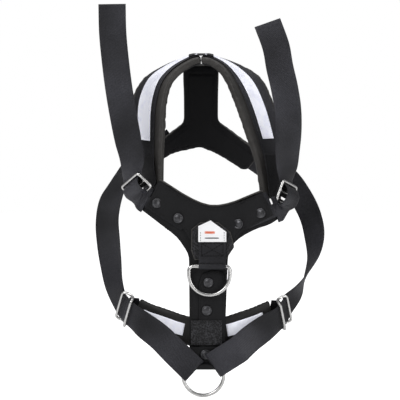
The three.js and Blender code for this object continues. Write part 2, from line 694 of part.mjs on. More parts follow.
function addArmStrap(side) {
  const { innerEnd, outerEnd, gathered, rise } = ARM_STRAPS[side];
  const flat = layer(armStrapOutline(innerEnd, outerEnd), STRAP_LAYER);
  const sewn = wrapped(cut(flat, ...rivetHoles));
  const along = new THREE.Vector2(...outerEnd).sub(new THREE.Vector2(...innerEnd)).normalize();
  const middleDepth = (STRAP_LAYER.front + STRAP_LAYER.back) / 2;
  const onArm = (distance, aside, raised = 0) => wrap(point(
    outerEnd[0] + along.x * distance - along.y * aside,
    middleDepth - raised,
    outerEnd[1] + along.y * distance + along.x * aside,
  ), CHEST_BEND);
  const frame = glideFrame(`shoulder_adjuster_${side}`);
  const armAcross = onArm(0, 1).sub(onArm(0, -1));
  if (armAcross.dot(frame.u) < 0) armAcross.negate();
  // The webbing is gathered where it leaves the arm, towards the arm's lower edge.
  const lower = -9.5 * Math.sign(along.x);
  const leaving = stationsAt([onArm(-2, lower), onArm(7, lower, 0.5)], armAcross);
  const free = [
    ...leaving.map((station) => ({ ...station, width: gathered })),
    ...rise.map(([down, out, width]) => ({
      at: inGlide(frame, 2 * Math.sign(frame.u.y), down, out),
      across: frame.u,
      width,
    })),
  ];
  addPart(`arm_strap_${side}`, join(sewn, sheet(edgesOfStrap(free), { out: THIN, steps: 14 })), 'webbing');
}

function addTail(side) {
  const { tail, tailAcross } = ARM_STRAPS[side];
  const frame = glideFrame(`shoulder_adjuster_${side}`);
  const stations = [
    { at: inGlide(frame, 0, -11.4, -0.6), across: frame.u },
    { at: inGlide(frame, 0, -15, -1.8), across: frame.u },
    ...tail.map((place, index) => ({ at: point(...place), across: point(...tailAcross[index]) })),
  ];
  addPart(`strap_tail_${side}`, sheet(edgesOfStrap(stations), { out: THIN, steps: 30 }), 'webbing');
}

// --- Back piece -----------------------------------------------------------------------------------

// The inverted Y of the back piece, drawn flat from its top edge down.
function backOutline() {
  const shape = new THREE.Shape();
  shape.moveTo(-27, -6);
  shape.lineTo(-27, -88);
  spline(shape, [-29, -95], [-36, -102], [-91, -142]);
  shape.lineTo(-72, -166);
  spline(shape, [-52, -150], [-28, -142], [-1, -136]);
  shape.lineTo(18, -144);
  shape.lineTo(64, -172);
  spline(shape, [72, -172], [78, -166], [94, -142]);
  shape.lineTo(30, -95);
  spline(shape, [28, -92], [27, -86]);
  shape.lineTo(27, -6);
  return shape;
}

function addBackPiece() {
  const back = new THREE.Group();
  back.position.copy(BACK_APEX);
  back.rotation.x = BACK_TILT;
  harness.add(back);
  const layers = [
    ['back_pad_lining', { front: -4.8, back: -3.3 }, 'lining'],
    ['back_pad_foam', { front: -3, back: 3 }, 'foam'],
    ['back_pad_cover', { front: 3.3, back: 4.8 }, 'cover'],
  ];
  for (const [name, depths, finish] of layers) {
    back.add(addPart(name, wrapped(layer(backOutline(), depths), BACK_BEND), finish));
  }
  const webbing = boxBetween([-19, 5.1, -128], [19, 6.7, -10]);
  back.add(addPart('back_webbing', webbing, 'webbing'));
}

addChestPlate();
addStem();
addChestFittings();
addRivets();
addGirth();
for (const name of ['side_slider_left', 'side_slider_right']) addGlide(name, bowed);
for (const name of ['shoulder_adjuster_left', 'shoulder_adjuster_right']) addGlide(name, tilted);
for (const side of ['left', 'right']) {
  addPullStrap(side);
  addShoulder(side);
  addAnchorStrap(side);
  addArmStrap(side);
  addTail(side);
}
addBackPiece();

// The origin is put under the middle of the harness's box, level with its lowest point.
const box = new THREE.Box3().setFromObject(harness, true);
const middle = box.getCenter(point());
harness.position.set(-middle.x, -middle.y, -box.min.z);

export default harness;
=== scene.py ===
import json
import math

import bmesh
import bpy
import numpy as np
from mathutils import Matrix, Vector
from mathutils.bvhtree import BVHTree
from mathutils.kdtree import KDTree


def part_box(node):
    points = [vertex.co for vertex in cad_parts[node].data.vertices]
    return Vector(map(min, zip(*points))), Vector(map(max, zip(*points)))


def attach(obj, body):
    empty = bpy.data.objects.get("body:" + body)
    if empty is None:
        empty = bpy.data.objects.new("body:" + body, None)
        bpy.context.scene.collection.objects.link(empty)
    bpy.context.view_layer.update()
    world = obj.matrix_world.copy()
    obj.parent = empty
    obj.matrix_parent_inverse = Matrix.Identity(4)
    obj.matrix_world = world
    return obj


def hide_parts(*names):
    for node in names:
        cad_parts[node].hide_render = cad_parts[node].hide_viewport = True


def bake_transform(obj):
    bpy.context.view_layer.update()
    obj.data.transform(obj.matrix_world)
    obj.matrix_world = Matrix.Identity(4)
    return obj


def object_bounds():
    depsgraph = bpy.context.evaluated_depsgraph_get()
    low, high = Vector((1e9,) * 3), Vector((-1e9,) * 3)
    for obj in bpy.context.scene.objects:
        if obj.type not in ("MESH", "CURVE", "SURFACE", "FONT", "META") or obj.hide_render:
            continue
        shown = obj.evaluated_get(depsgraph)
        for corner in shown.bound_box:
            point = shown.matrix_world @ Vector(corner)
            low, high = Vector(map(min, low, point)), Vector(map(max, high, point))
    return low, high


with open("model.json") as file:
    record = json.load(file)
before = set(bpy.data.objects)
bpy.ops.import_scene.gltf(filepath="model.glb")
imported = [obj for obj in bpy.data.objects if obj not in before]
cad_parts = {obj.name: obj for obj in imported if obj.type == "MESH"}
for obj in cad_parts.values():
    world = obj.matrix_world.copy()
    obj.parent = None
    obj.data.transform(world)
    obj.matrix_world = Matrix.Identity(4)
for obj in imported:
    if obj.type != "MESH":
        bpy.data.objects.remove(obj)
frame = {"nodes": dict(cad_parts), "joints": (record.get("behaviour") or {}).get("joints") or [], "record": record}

cad_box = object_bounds()

MM = 0.001
SIDES = ("left", "right")
WEBBING_THICKNESS = 1.6 * MM
RING_WIRE = 5 * MM
GLIDE_WIRE = 4 * MM
MIDDLE_BAR = 0.92 * GLIDE_WIRE
JOINT = {joint["name"]: joint for joint in frame["joints"]}
BODY_OF = {node: body for body, nodes in frame["record"]["behaviour"]["bodies"].items() for node in nodes}
SLOT_OF = {part["node"]: part["material_slot"] for part in frame["record"]["subparts"]}


# --- Node helpers -------------------------------------------------------------

def principled(name, color, roughness, metallic=0.0):
    """A new material with its node tree and its Principled node."""
    made = bpy.data.materials.new(name)
    made.use_nodes = True
    shader = made.node_tree.nodes["Principled BSDF"]
    shader.inputs["Base Color"].default_value = (*color, 1)
    shader.inputs["Roughness"].default_value = roughness
    shader.inputs["Metallic"].default_value = metallic
    shader.inputs["Specular IOR Level"].default_value = 0.3
    return made, made.node_tree, shader


def add(tree, kind, inputs, **settings):
    """Adds a node: a socket among the inputs is linked, and any other value is set."""
    made = tree.nodes.new(kind)
    for key, value in settings.items():
        setattr(made, key, value)
    for key, value in inputs.items():
        if isinstance(value, bpy.types.NodeSocket):
            tree.links.new(value, made.inputs[key])
        else:
            made.inputs[key].default_value = value
    return made


def calculate(tree, operation, a, b=0.0):
    return add(tree, "ShaderNodeMath", {0: a, 1: b}, operation=operation).outputs[0]


def plus(tree, a, b):
    return calculate(tree, "ADD", a, b)


def times(tree, a, b):
    return calculate(tree, "MULTIPLY", a, b)


def wave(tree, value, length):
    """A sine along a value, with a given wavelength."""
    return calculate(tree, "SINE", times(tree, value, 2 * math.pi / length))


def object_place(tree):
    return add(tree, "ShaderNodeTexCoord", {}).outputs["Object"]


def strap_place(tree):
    """The place along a strap and across it, in metres, from its UV map."""
    place = add(tree, "ShaderNodeUVMap", {}, uv_map="strap").outputs[0]
    return add(tree, "ShaderNodeSeparateXYZ", {0: place}).outputs[:2]


def noise(tree, scale, detail=3.0, roughness=0.6):
    inputs = {"Vector": object_place(tree), "Scale": scale, "Detail": detail, "Roughness": roughness}
    return add(tree, "ShaderNodeTexNoise", inputs).outputs["Fac"]


def between(tree, share, low, high):
    """Colour between low and high."""
    ramp = add(tree, "ShaderNodeMix", {0: share, 6: (*low, 1), 7: (*high, 1)}, data_type="RGBA")
    return ramp.outputs[2]


def bump(tree, shader, height, depth, strength=1.0):
    made = add(tree, "ShaderNodeBump", {"Height": height, "Distance": depth, "Strength": strength})
    tree.links.new(made.outputs["Normal"], shader.inputs["Normal"])


def spread(tree, value, low, high):
    """Stretches a value so that low becomes 0 and high becomes 1."""
    inputs = {"Value": value, "From Min": low, "From Max": high}
    return add(tree, "ShaderNodeMapRange", inputs).outputs["Result"]


# --- Finishes -----------------------------------------------------------------

RIB_SLANT = 0.45            # how far a rib runs along the strap for each step across it
TAPE_CELL = 1.8 * MM


def webbing(name, dark, light, roughness=0.5, rib=2.1 * MM, yarn=1.5 * MM):
    """Woven nylon: slanting ribs across the strap, yarns along it, loose fibres and soft bands of sheen."""
    made, tree, shader = principled(name, light, roughness)
    along, across = strap_place(tree)
    ribs = wave(tree, plus(tree, along, times(tree, across, RIB_SLANT)), rib)
    cells = times(tree, ribs, wave(tree, across, yarn))
    weave = plus(tree, plus(tree, times(tree, ribs, 0.28), times(tree, cells, 0.2)), 0.5)
    fibres = spread(tree, noise(tree, 620, 4.0, 0.7), 0.3, 0.7)
    sheen_bands = spread(tree, noise(tree, 13, 2.0, 0.4), 0.35, 0.68)
    mixed = plus(tree, times(tree, weave, 0.5), times(tree, fibres, 0.5))
    # The sheen bands lighten the colour, as painted sheen, and below they also make the webbing glossier.
    mixed = times(tree, mixed, plus(tree, 0.2, sheen_bands))
    tree.links.new(between(tree, mixed, dark, light), shader.inputs["Base Color"])
    worn = calculate(tree, "SUBTRACT", roughness + 0.14, times(tree, sheen_bands, 0.24))
    tree.links.new(worn, shader.inputs["Roughness"])
    shader.inputs["Specular IOR Level"].default_value = 0.22
    shader.inputs["Sheen Weight"].default_value = 0.03
    shader.inputs["Sheen Roughness"].default_value = 0.35
    bump(tree, shader, plus(tree, weave, times(tree, fibres, 0.5)), 0.3 * MM, 0.8)
    return made


def cloth(name, dark, light, roughness, grain, depth, sheen=0.0):
    """A plain fabric face: a fine grain, soft patches of wear and an even nap."""
    made, tree, shader = principled(name, light, roughness)
    fine = noise(tree, grain, 5.0, 0.7)
    patches = noise(tree, 30, 3.0)
    mixed = plus(tree, times(tree, fine, 0.6), times(tree, patches, 0.5))
    tree.links.new(between(tree, spread(tree, mixed, 0.3, 0.8), dark, light), shader.inputs["Base Color"])
    worn = plus(tree, roughness - 0.08, times(tree, patches, 0.16))
    tree.links.new(worn, shader.inputs["Roughness"])
    shader.inputs["Sheen Weight"].default_value = sheen
    shader.inputs["Specular IOR Level"].default_value = 0.2
    bump(tree, shader, fine, depth, 0.8)
    return made


def fuzz(name, dark, light):
    """Hook-and-loop pile: clumps of loops with dark gaps between them."""
    made, tree, shader = principled(name, dark, 0.95)
    inputs = {"Vector": object_place(tree), "Scale": 520.0, "Randomness": 1.0}
    clumps = add(tree, "ShaderNodeTexVoronoi", inputs).outputs["Distance"]
    loops = noise(tree, 1500, 4.0, 0.8)
    pile = plus(tree, times(tree, clumps, 0.6), times(tree, loops, 0.7))
    tree.links.new(between(tree, spread(tree, pile, 0.45, 0.95), dark, light), shader.inputs["Base Color"])
    shader.inputs["Sheen Weight"].default_value = 0.1
    bump(tree, shader, pile, 1.2 * MM, 1.0)
    return made


def tape(name, low, high):
    """Reflective tape: a satin silver face with fine diagonal cells and faint creases. The small glow is the
    light that such tape sends straight back."""
    made, tree, shader = principled(name, high, 0.42, 0.15)
    along, across = strap_place(tree)
    one = wave(tree, plus(tree, along, across), TAPE_CELL)
    other = wave(tree, calculate(tree, "SUBTRACT", along, across), TAPE_CELL)
    cells = times(tree, one, other)
    mixed = plus(tree, times(tree, cells, 0.12), noise(tree, 60, 3.0))
    tone = between(tree, spread(tree, mixed, 0.3, 0.75), low, high)
    tree.links.new(tone, shader.inputs["Base Color"])
    tree.links.new(tone, shader.inputs["Emission Color"])
    shader.inputs["Emission Strength"].default_value = 0.3
    bump(tree, shader, cells, 0.06 * MM, 0.4)
    return made


def metal(name, color, dull, roughness, scratch):
    """Plated metal: fine scratches, and a duller plate where dirt sits."""
    made, tree, shader = principled(name, color, roughness, 1.0)
    stretched = add(tree, "ShaderNodeMapping", {0: object_place(tree), 3: (1, 1, 8)}).outputs[0]
    inputs = {"Vector": stretched, "Scale": 260.0, "Detail": 5.0}
    scratches = add(tree, "ShaderNodeTexNoise", inputs).outputs["Fac"]
    patches = spread(tree, noise(tree, 90, 3.0), 0.35, 0.75)
    tree.links.new(between(tree, patches, color, dull), shader.inputs["Base Color"])
    rough = plus(tree, roughness - scratch / 2, times(tree, scratches, scratch))
    tree.links.new(rough, shader.inputs["Roughness"])
    bump(tree, shader, scratches, 0.003 * MM, 0.15)
    return made


# Colours are linear RGB, from the darkest to the lightest that a finish shows.
BLACK_CLOTH = ((0.001, 0.001, 0.0015), (0.006, 0.006, 0.007))
COATED_CLOTH = ((0.0015, 0.0015, 0.002), (0.008, 0.008, 0.009))
STRETCH_CLOTH = ((0.006, 0.006, 0.006), (0.024, 0.023, 0.022))
RIM_CLOTH = ((0.018, 0.017, 0.016), (0.050, 0.047, 0.044))
BINDING_CLOTH = ((0.018, 0.017, 0.016), (0.060, 0.056, 0.052))
WHITE_CLOTH = ((0.72, 0.72, 0.73), (0.86, 0.86, 0.87))
THREADS = {
    "dark_thread": ((0.001, 0.001, 0.001), (0.004, 0.004, 0.004)),
    "grey_thread": ((0.05, 0.05, 0.055), (0.12, 0.12, 0.13)),
    "coral_thread": ((0.62, 0.14, 0.08), (0.78, 0.24, 0.15)),
}
FINISH = {
    "webbing": webbing("nylon_webbing", (0.003, 0.003, 0.004), (0.038, 0.038, 0.045)),
    # A lighter, glossier copy of the same webbing for the stretches that face the light: its lighter colour is
    # painted light.
    "lit_webbing": webbing("nylon_webbing_painted_lit", (0.003, 0.003, 0.004), (0.052, 0.052, 0.062), 0.42),
    "black_webbing": webbing("nylon_webbing_black", (0.002, 0.002, 0.003), (0.018, 0.018, 0.020), 0.6),
    "plate_cover": cloth("coated_cover", *COATED_CLOTH, roughness=0.66, grain=900, depth=0.12 * MM),
    "binding": cloth("edge_binding", *BINDING_CLOTH, roughness=0.5, grain=1200, depth=0.1 * MM, sheen=0.1),
    "lining": cloth("lining_cloth", *BLACK_CLOTH, roughness=0.8, grain=900, depth=0.12 * MM, sheen=0.03),
    "rim": cloth("rim_cloth", *RIM_CLOTH, roughness=0.5, grain=1100, depth=0.08 * MM, sheen=0.06),
    "padding": cloth("stretch_cloth", *STRETCH_CLOTH, roughness=0.5, grain=1100, depth=0.1 * MM, sheen=0.06),
    "hook_and_loop": fuzz("loop_pile", (0.001, 0.001, 0.001), (0.040, 0.040, 0.044)),
    "label_cloth": cloth("label_cloth", *WHITE_CLOTH, roughness=0.8, grain=2200, depth=0.05 * MM),
    "reflective_tape": tape("silver_tape", (0.66, 0.67, 0.75), (0.86, 0.87, 0.93)),
    "gunmetal": metal("black_nickel", (0.075, 0.075, 0.08), (0.045, 0.045, 0.046), 0.4, 0.06),
    "nickel": metal("polished_nickel", (0.58, 0.575, 0.565), (0.46, 0.455, 0.45), 0.27, 0.06),
}
for thread, colors in THREADS.items():
    FINISH[thread] = cloth(thread, *colors, roughness=0.7, grain=4000, depth=0.05 * MM)


# --- Reading the CAD ----------------------------------------------------------

def cad_mesh(node):
    """A CAD node's mesh with its equal corners joined."""
    mesh = bmesh.new()
    mesh.from_mesh(frame["nodes"][node].data)
    bmesh.ops.remove_doubles(mesh, verts=mesh.verts, dist=0.01 * MM)
    return mesh


def corners_of(node):
    """A CAD node's corners, as an array."""
    mesh = cad_mesh(node)
    return np.array([tuple(vert.co) for vert in mesh.verts])


def surface_of(*nodes):
    """A search tree over the faces of CAD nodes."""
    corners, faces = [], []
    for node in nodes:
        mesh = cad_mesh(node)
        start = len(corners)
        mesh.verts.index_update()
        corners += [vert.co.copy() for vert in mesh.verts]
        faces += [[start + vert.index for vert in face.verts] for face in mesh.faces]
    return BVHTree.FromPolygons(corners, faces)


def rings_from(ring):
    """The four-cornered rings that follow a strap's end, until the mesh stops being a plain strap."""
    rings, seen = [], set()
    while len(ring) == 4:
        rings.append(sorted(ring, key=lambda vert: vert.index))
        seen |= ring
        ring = {edge.other_vert(vert) for vert in ring for edge in vert.link_edges} - seen
    return rings


THIN_SIDE = WEBBING_THICKNESS * 1.3      # a strap's end faces have a side below this
WHOLE_END = 0.45                         # and a long side above this share of the widest one


def strap_rows(node, near=None):
    """The two long edges of a strap, as matching rows of points midway through its thickness. It starts at
    a whole end, the one nearest a point if that is given, and stops where the strap has been cut to shape."""
    mesh = cad_mesh(node)
    mesh.verts.index_update()
    lengths = {face: sorted(edge.calc_length() for edge in face.edges) for face in mesh.faces}
    thin = [face for face in mesh.faces if lengths[face][0] < THIN_SIDE]
    widest = max(lengths[face][1] for face in thin)
    ends = [face for face in thin if lengths[face][1] > WHOLE_END * widest]
    found = []
    for end in ends:
        for edge in sorted(end.edges, key=lambda side: -side.calc_length())[:2]:
            ring = {vert for face in edge.link_faces for vert in face.verts}
            found.append(rings_from(ring))
    whole = [rings for rings in found if len(rings) > 3]
    if near is None:
        rings = max(whole, key=len)
    else:
        rings = min(whole, key=lambda each: min((vert.co - Vector(near)).length for vert in each[0]))
    first, second = [], []
    for ring in rings:
        corners = [np.array(vert.co) for vert in ring]
        nearest = min(range(1, 4), key=lambda k: np.linalg.norm(corners[k] - corners[0]))
        rest = [corners[k] for k in range(1, 4) if k != nearest]
        one = (corners[0] + corners[nearest]) / 2
        two = (rest[0] + rest[1]) / 2
        if first and np.linalg.norm(one - first[-1]) > np.linalg.norm(two - first[-1]):
            one, two = two, one
        first.append(one)
        second.append(two)
    return np.array(first), np.array(second)


def front_first(first, second):
    """A strap's two edges, with the one that is nearer the viewer first."""
    if first[:, 1].mean() > second[:, 1].mean():
        return second, first
    return first, second


def middle_of(node):
    """The middle of a CAD node's box, as an array."""
    return np.array(sum(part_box(node), Vector())) / 2


def face_outline(node, direction):
    """The longest edge loop round a node's faces that look along a direction, as a row of points."""
    mesh = cad_mesh(node)
    mesh.normal_update()
    chosen = {face for face in mesh.faces if face.normal.dot(direction) > 0.6}
    border = [edge for edge in mesh.edges if len([face for face in edge.link_faces if face in chosen]) == 1]
    links = {}
    for edge in border:
        for vert in edge.verts:
            links.setdefault(vert, []).append(edge)
    loops = []
    left = dict.fromkeys(border)
    while left:
        edge = next(iter(left))
        vert = edge.verts[0]
        loop = []
        while edge is not None:
            del left[edge]
            loop.append(tuple(vert.co))
            vert = edge.other_vert(vert)
            edge = next((other for other in links[vert] if other in left), None)
        loops.append(np.array(loop))
    return max(loops, key=lambda loop: np.linalg.norm(np.diff(loop, axis=0), axis=1).sum())


# --- Rows of points -----------------------------------------------------------

def smoothed(row, steps=3):
    """A smooth curve through a row of points, with steps for each gap."""
    padded = np.vstack([2 * row[0] - row[1], row, 2 * row[-1] - row[-2]])
    a, b, c, d = padded[:-3], padded[1:-2], padded[2:-1], padded[3:]
    pieces = []
    for k in range(steps):
        t = k / steps
        bend = (2 * a - 5 * b + 4 * c - d) * t * t + (3 * b - a - 3 * c + d) * t ** 3
        pieces.append(0.5 * (2 * b + (c - a) * t + bend))
    return np.vstack([np.stack(pieces, 1).reshape(-1, 3), row[-1:]])


def evenly(row, spacing, closed=False):
    """Points along a row at an even spacing."""
    if closed:
        row = np.vstack([row, row[:1]])
    reach = np.concatenate([[0], np.cumsum(np.linalg.norm(np.diff(row, axis=0), axis=1))])
    count = max(2, int(round(reach[-1] / spacing)) + 1)
    at = np.linspace(0, reach[-1], count)
    even = np.stack([np.interp(at, reach, row[:, axis]) for axis in range(3)], 1)
    return even[:-1] if closed else even


KNOT_SHARE = 0.93     # an inset point nearer the outline than this share of the distance is in a knot


def inset(loop, distance, normal):
    """A closed loop of points moved inwards, without the knots at its corners."""
    loop = evenly(loop, 2 * MM, closed=True)
    ahead = np.roll(loop, -1, 0) - np.roll(loop, 1, 0)
    ahead /= np.linalg.norm(ahead, axis=1)[:, None]
    side = np.cross(np.array(normal), ahead)
    side /= np.linalg.norm(side, axis=1)[:, None]
    centre = loop.mean(0)
    area = np.cross(loop - centre, np.roll(loop, -1, 0) - centre) @ np.array(normal)
    if area.sum() < 0:
        side = -side
    moved = loop + side * distance
    gaps = np.linalg.norm(moved[:, None] - loop[None], axis=2).min(1)
    return moved[gaps > KNOT_SHARE * distance]


# --- Making pieces ------------------------------------------------------------

def new_object(name, data):
    made = bpy.data.objects.new(name, data)
    bpy.context.scene.collection.objects.link(made)
    return made


def piece(name, mesh, finish, body=None, node=None):
    """An object from a bmesh: it rides on a body, and stands for a node if one is named."""
    data = bpy.data.meshes.new(name)
    mesh.to_mesh(data)
    mesh.free()
    made = new_object(name, data)
    data.materials.append(FINISH[finish])
    data.polygons.foreach_set("use_smooth", [True] * len(data.polygons))
    if node:
        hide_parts(node)
        body = body or BODY_OF[node]
    if body:
        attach(made, body)
    return made


def section_mesh(rings, closed=False, capped=True, uv=None):
    """A skin through rings of points. uv, if given, is the place of each point of each ring."""
    mesh = bmesh.new()
    layer = mesh.loops.layers.uv.new("strap")
    verts = [[mesh.verts.new(point) for point in ring] for ring in rings]
    sides = len(rings[0])
    for k in range(len(rings) if closed else len(rings) - 1):
        after = (k + 1) % len(rings)
        for side in range(sides):
            beside = (side + 1) % sides
            places = ((k, side), (k, beside), (after, beside), (after, side))
            face = mesh.faces.new([verts[ring][point] for ring, point in places])
            if uv is not None:
                for loop, (ring, point) in zip(face.loops, places):
                    loop[layer].uv = uv[ring][point]
    if capped and not closed:
        mesh.faces.new(list(reversed(verts[0])))
        mesh.faces.new(verts[-1])
    bmesh.ops.recalc_face_normals(mesh, faces=mesh.faces)
    return mesh


def strap_mesh(first, second, thickness=WEBBING_THICKNESS):
    """Webbing between two rows of edge points, with rounded selvedges and a UV map in metres."""
    middle = (first + second) / 2
    ahead = np.gradient(middle, axis=0)
    width = second - first
    normal = np.cross(ahead, width)
    normal /= np.linalg.norm(normal, axis=1)[:, None]
    reach = np.concatenate([[0], np.cumsum(np.linalg.norm(np.diff(middle, axis=0), axis=1))])
    half = thickness / 2
    flat = np.linspace(0, 1, 9)
    selvedge = (math.pi / 4, math.pi / 2, 3 * math.pi / 4)
    rings, uv = [], []
    for k in range(len(middle)):
        size = np.linalg.norm(width[k])
        lip = half / size
        top = [(lip + (1 - 2 * lip) * u, half) for u in flat]
        turn = [(1 - lip + lip * math.sin(a), half * math.cos(a)) for a in selvedge]
        under = [(1 - u, -height) for u, height in top]
        back = [(1 - u, -height) for u, height in turn]
        outline = top + turn + under + back
        rings.append([first[k] + width[k] * u + normal[k] * height for u, height in outline])
        uv.append([(reach[k], (u - 0.5) * size) for u, _ in outline])
    return section_mesh(rings, uv=uv)


ANY_WAY = (0.31, 0.17, 0.93)      # a direction that no thread runs along


def tube_mesh(path, radius, closed=False, sides=14, normal=ANY_WAY):
    """Round wire along a row of points. normal is a direction that the path doesn't take."""
    ahead = (np.roll(path, -1, 0) - np.roll(path, 1, 0)) if closed else np.gradient(path, axis=0)
    ahead /= np.linalg.norm(ahead, axis=1)[:, None]
    up = np.array(normal, float)
    rings = []
    for centre, direction in zip(path, ahead):
        side = np.cross(direction, up)
        side /= np.linalg.norm(side)
        up = np.cross(side, direction)
        angles = [2 * math.pi * k / sides for k in range(sides)]
        rings.append([centre + radius * (math.cos(a) * side + math.sin(a) * up) for a in angles])
    return section_mesh(rings, closed=closed)


def merge(meshes):
    """One bmesh from many."""
    whole = bmesh.new()
    for mesh in meshes:
        data = bpy.data.meshes.new("part")
        mesh.to_mesh(data)
        whole.from_mesh(data)
        mesh.free()
        bpy.data.meshes.remove(data)
    return whole


# A stitch's height over the cloth, by share of its length, and how far from the cloth it is still found.
STITCH_LIFT = {0.0: -0.35 * MM, 0.25: 0.1 * MM, 0.75: 0.1 * MM, 1.0: -0.35 * MM}
STITCH_REACH = 6 * MM


def stitches(name, rows, surface, finish="dark_thread", length=2.4 * MM, gap=1.3 * MM, radius=0.32 * MM):
    """Lines of thread on a surface that belongs to the chest body, one short stitch after another."""
    made = []
    for row in rows:
        points = evenly(row, length + gap)
        for k in range(len(points) - 1):
            direction = points[k + 1] - points[k]
            direction /= np.linalg.norm(direction)
            start, end = points[k], points[k] + direction * length
            path = []
            for share, lift in STITCH_LIFT.items():
                spot = Vector(start + (end - start) * share)
                hit, normal, _, distance = surface.find_nearest(spot)
                if hit is not None and distance <= STITCH_REACH:
                    path.append(np.array(hit + normal * lift))
            if len(path) == len(STITCH_LIFT):
                made.append(tube_mesh(np.array(path), radius, sides=6))
    return piece(name, merge(made), finish, "chest")


def shape_of(obj):
    """A search tree over an object's finished surface."""
    return BVHTree.FromObject(obj, bpy.context.evaluated_depsgraph_get())


def apply_modifiers(obj):
    graph = bpy.context.evaluated_depsgraph_get()
    mesh = bpy.data.meshes.new_from_object(obj.evaluated_get(graph))
    obj.modifiers.clear()
    obj.data = mesh
    mesh.polygons.foreach_set("use_smooth", [True] * len(mesh.polygons))


def points_of(obj):
    flat = np.zeros(len(obj.data.vertices) * 3)
    obj.data.vertices.foreach_get("co", flat)
    return flat.reshape(-1, 3)


def place_points(obj, points):
    obj.data.vertices.foreach_set("co", points.ravel())
    obj.data.update()


# --- Padding ------------------------------------------------------------------

SWELL_FRAMES = 12
SWELL_PRESSURE = 4
SEWN_DOWN = 1.5 * MM      # padding this near a node that is sewn on it hardly rises
FREE_WITHIN = 5 * MM      # and over this much more distance it becomes free to rise


def swell(obj):
    """Blows the piece up a little with Blender's cloth, as foam under a sewn cover."""
    scene = bpy.context.scene
    cloth_settings = obj.modifiers.new("cloth", "CLOTH").settings
    cloth_settings.use_pressure = True
    cloth_settings.uniform_pressure_force = SWELL_PRESSURE
    cloth_settings.quality = 4
    cloth_settings.effector_weights.gravity = 0
    for number in range(1, SWELL_FRAMES + 1):
        scene.frame_set(number)
    apply_modifiers(obj)
    scene.frame_set(1)


def padded(name, nodes, finish, rise, clear_of, voxel=2.6 * MM):
    """A padded piece in place of CAD layers. It rises by up to a given height, but stays under the nodes that
    are sewn on it. Where it lies on a CAD lining it has the dark lining cloth."""
    mesh = merge([cad_mesh(node) for node in nodes])
    obj = piece(name, mesh, finish)
    remesh = obj.modifiers.new("remesh", "REMESH")
    remesh.mode = "VOXEL"
    remesh.voxel_size = voxel
    soften = obj.modifiers.new("soften", "SMOOTH")
    soften.factor = 0.5
    soften.iterations = 8
    apply_modifiers(obj)
    rest = points_of(obj)
    swell(obj)
    cover = surface_of(*clear_of)
    moved = points_of(obj) - rest
    room = np.array([cover.find_nearest(Vector(point))[3] for point in rest])
    cap = rise * np.clip((room - SEWN_DOWN) / FREE_WITHIN, 0.06, 1)
    size = np.linalg.norm(moved, axis=1) + 1e-9
    place_points(obj, rest + moved * np.minimum(1, cap / size)[:, None])
    fine = obj.modifiers.new("fine", "SUBSURF")
    fine.levels = fine.render_levels = 1
    apply_modifiers(obj)
    linings = [node for node in nodes if SLOT_OF[node] == "lining"]
    if linings:
        obj.data.materials.append(FINISH["lining"])
        inner = surface_of(*linings)
        outer = surface_of(*[node for node in nodes if node not in linings])
        for polygon in obj.data.polygons:
            inner_gap, outer_gap = (shape.find_nearest(polygon.center)[3] for shape in (inner, outer))
            polygon.material_index = int(inner_gap < outer_gap)
    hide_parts(*nodes)
    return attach(obj, BODY_OF[nodes[0]])


def draw_out(obj, amount, reach, end=-1):
    """Draws the lowest stretch of a padded piece farther down, or if end is 1 the highest one farther up."""
    points = points_of(obj)
    height = points[:, 2] * end
    share = np.clip((height + reach - height.max()) / reach, 0, 1)
    points[:, 2] += end * amount * share ** 2
    place_points(obj, points)


def sew_channel(obj, rows, width=2.6 * MM, depth=1.1 * MM):
    """Presses a sewn channel into a padded piece along rows of points."""
    spots = np.vstack([evenly(row, 1.2 * MM) for row in rows])
    tree = KDTree(len(spots))
    for index, spot in enumerate(spots):
        tree.insert(spot, index)
    tree.balance()
    points = points_of(obj)
    normals = np.array([vert.normal for vert in obj.data.vertices])
    gaps = np.array([tree.find(Vector(point))[2] for point in points])
    share = np.clip(1 - (gaps / width) ** 2, 0, 1) ** 2
    place_points(obj, points - normals * (depth * share)[:, None])


# --- Flat layers --------------------------------------------------------------

FLAT_ANGLE = 0.02     # faces that meet at less than this are one face, in radians
EDGE_ANGLE = 0.7      # and edges sharper than this are rounded


def layer(node, finish=None, edge=0.45 * MM):
    """A flat CAD layer with rounded edges."""
    mesh = cad_mesh(node)
    bmesh.ops.dissolve_limit(mesh, angle_limit=FLAT_ANGLE, verts=mesh.verts, edges=mesh.edges)
    bmesh.ops.triangulate(mesh, faces=[face for face in mesh.faces if len(face.verts) > 4])
    obj = piece(node + "_sewn", mesh, finish or SLOT_OF[node], node=node)
    rounding = obj.modifiers.new("rounding", "BEVEL")
    rounding.width = edge
    rounding.segments = 3
    rounding.angle_limit = EDGE_ANGLE
    rounding.harden_normals = True
    apply_modifiers(obj)
    return obj


def strap(node, finish=None, trim=(0.0, 1.0), thickness=WEBBING_THICKNESS, steps=3):
    """Webbing along a CAD strap. trim keeps a stretch of its width, counted from its front edge."""
    near, far = (smoothed(row, steps) for row in front_first(*strap_rows(node)))
    low, high = trim
    mesh = strap_mesh(near + (far - near) * low, near + (far - near) * high, thickness)
    return piece(node + "_woven", mesh, finish or SLOT_OF[node], node=node)


def lay_uv(obj, along, across):
    """Lays a strap's UV map on a flat piece, in metres along two directions."""
    uv = obj.data.uv_layers.get("strap") or obj.data.uv_layers.new(name="strap")
    for loop in obj.data.loops:
        spot = obj.data.vertices[loop.vertex_index].co
        uv.data[loop.index].uv = (spot.dot(Vector(along)), spot.dot(Vector(across)))


# --- Metal fittings -----------------------------------------------------------

def arc(centre, radius, start, end, count=14):
    """Points of an arc in the x-z plane, by angles in degrees from +X towards +Z."""
    angles = np.radians(np.linspace(start, end, count))
    x = centre[0] + radius * np.cos(angles)
    z = centre[2] + radius * np.sin(angles)
    return np.stack([x, np.full(count, centre[1]), z], 1)


